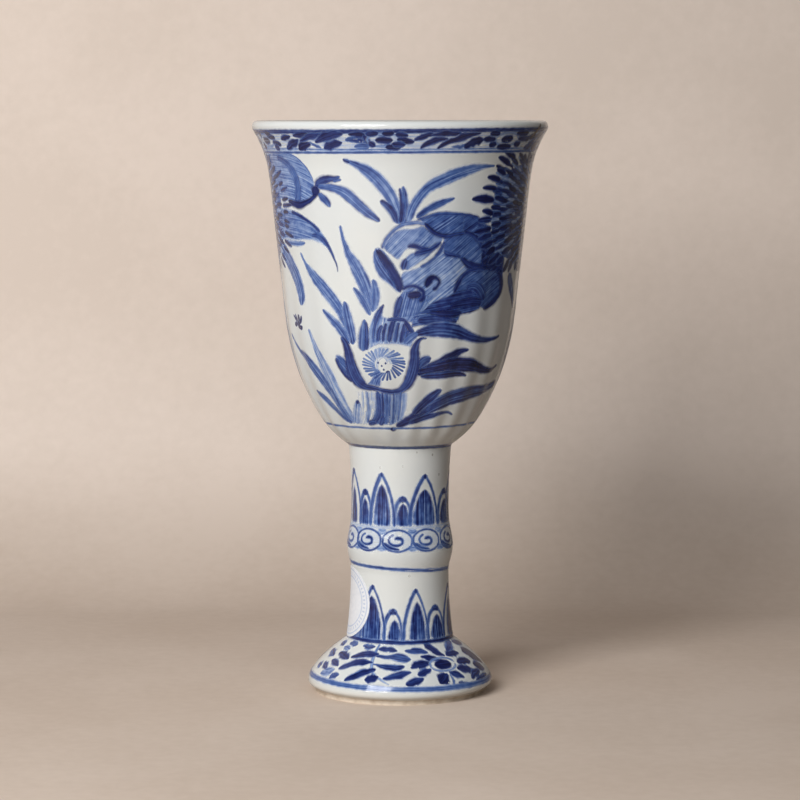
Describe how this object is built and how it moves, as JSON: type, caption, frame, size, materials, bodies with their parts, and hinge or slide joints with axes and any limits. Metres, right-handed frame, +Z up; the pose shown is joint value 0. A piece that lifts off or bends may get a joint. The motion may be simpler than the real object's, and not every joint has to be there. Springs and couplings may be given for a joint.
{
  "type": "porcelain stem cup",
  "caption": "Porcelain stem cup: fluted bowl with a flared rolled lip on a hollow stem with a swelling and a domed foot.",
  "frame": {"origin": "on the axis, in the plane that the foot ring stands on", "axes": "+Z up along the axis of the cup; the front faces -Y"},
  "size_m": [0.0874, 0.0874, 0.17],
  "materials": {
    "porcelain": "clear glossy glaze over white porcelain painted in cobalt blue",
    "luting_slip": "fired porcelain slip under the glaze",
    "label_paper": "matt white paper"
  },
  "bodies": {
    "root": {"bowl": "porcelain", "bowl_seam_slip": "luting_slip", "upper_stem": "porcelain", "mid_seam_slip": "luting_slip", "lower_stem": "porcelain", "foot_seam_slip": "luting_slip", "foot": "porcelain", "paper_label": "label_paper"}
  },
  "joints": []
}
